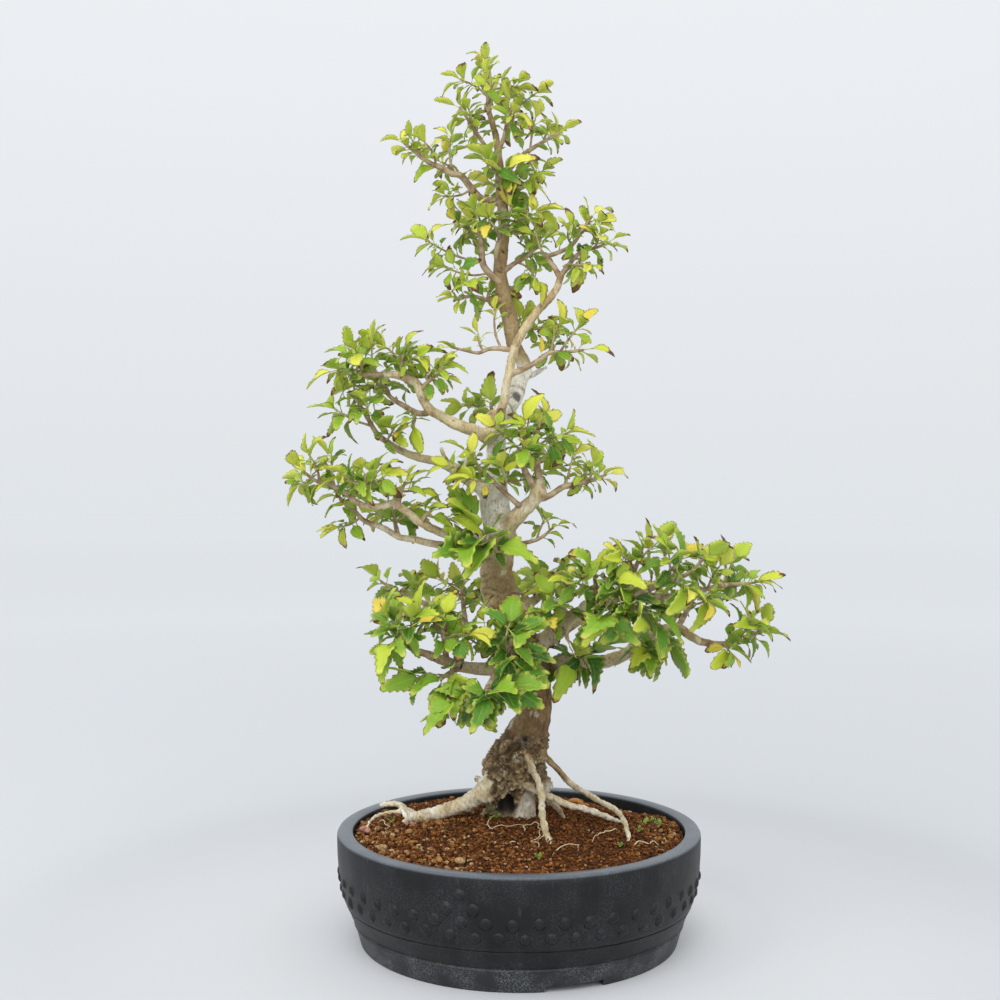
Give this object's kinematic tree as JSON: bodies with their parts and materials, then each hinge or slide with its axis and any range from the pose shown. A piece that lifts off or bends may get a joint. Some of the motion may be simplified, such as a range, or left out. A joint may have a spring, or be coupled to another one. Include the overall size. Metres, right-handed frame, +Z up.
{
  "type": "rose of sharon bonsai in a pot",
  "caption": "Informal upright flowering-shrub bonsai with twisted trunk, surface roots and leafy sprays, in a round studded plastic pot filled with granular soil.",
  "frame": {"origin": "on the ground under the middle of the bounding box; the pot's axis stands parallel to Z, 19 mm to the left of it", "axes": "+Z up along the trunk, +X to the viewer's right, -Y towards the viewer"},
  "size_m": [0.4372, 0.305, 0.762],
  "materials": {
    "pot": "satin charcoal, weathered",
    "soil": "loose red-brown granules",
    "bark": "matte pale bark",
    "leaf": "satin green leaf on thin brown stems"
  },
  "bodies": {
    "root": {"pot": "pot", "soil": "soil", "trunk": "bark", "spray_apex": "leaf", "spray_top_right": "leaf", "spray_top_inner": "leaf", "spray_top_left": "leaf", "spray_upper_left": "leaf", "spray_collar_front": "leaf", "spray_collar_back": "leaf", "spray_middle_left": "leaf", "spray_middle_low": "leaf", "spray_middle_front": "leaf", "spray_middle_back": "leaf", "spray_centre_right": "leaf", "spray_back_high": "leaf", "spray_upper_right": "leaf", "spray_right_tip": "leaf", "spray_middle_right": "leaf", "spray_twig_left": "leaf", "spray_third_tip": "leaf", "spray_third_top": "leaf", "spray_third_inner": "leaf", "spray_third_back": "leaf", "spray_second_tip": "leaf", "spray_left_tip": "leaf", "spray_left_mid": "leaf", "spray_left_inner": "leaf", "spray_left_near": "leaf", "spray_lower_tip": "leaf", "spray_lower_mid": "leaf", "spray_trunk_left": "leaf", "spray_centre_left": "leaf", "spray_centre_top": "leaf", "spray_centre_tip": "leaf", "spray_centre_front": "leaf", "spray_trunk_right": "leaf", "spray_back_low": "leaf", "spray_back_middle": "leaf", "spray_front_left_tip": "leaf", "spray_front_left_mid": "leaf", "spray_front_left_low": "leaf", "spray_front_tip": "leaf", "spray_front_mid": "leaf", "spray_front_near": "leaf", "spray_back_left_tip": "leaf", "spray_back_left_mid": "leaf", "spray_back_tip": "leaf", "spray_back_near": "leaf", "spray_front_right_tip": "leaf", "spray_front_right_up": "leaf", "spray_front_right_mid": "leaf", "spray_front_right_low": "leaf", "spray_right_near": "leaf", "spray_right_outer": "leaf", "spray_far_right_tip": "leaf", "spray_far_right_mid": "leaf", "spray_far_right_back": "leaf", "spray_far_right_low": "leaf", "spray_trunk_low": "leaf"}
  },
  "joints": []
}
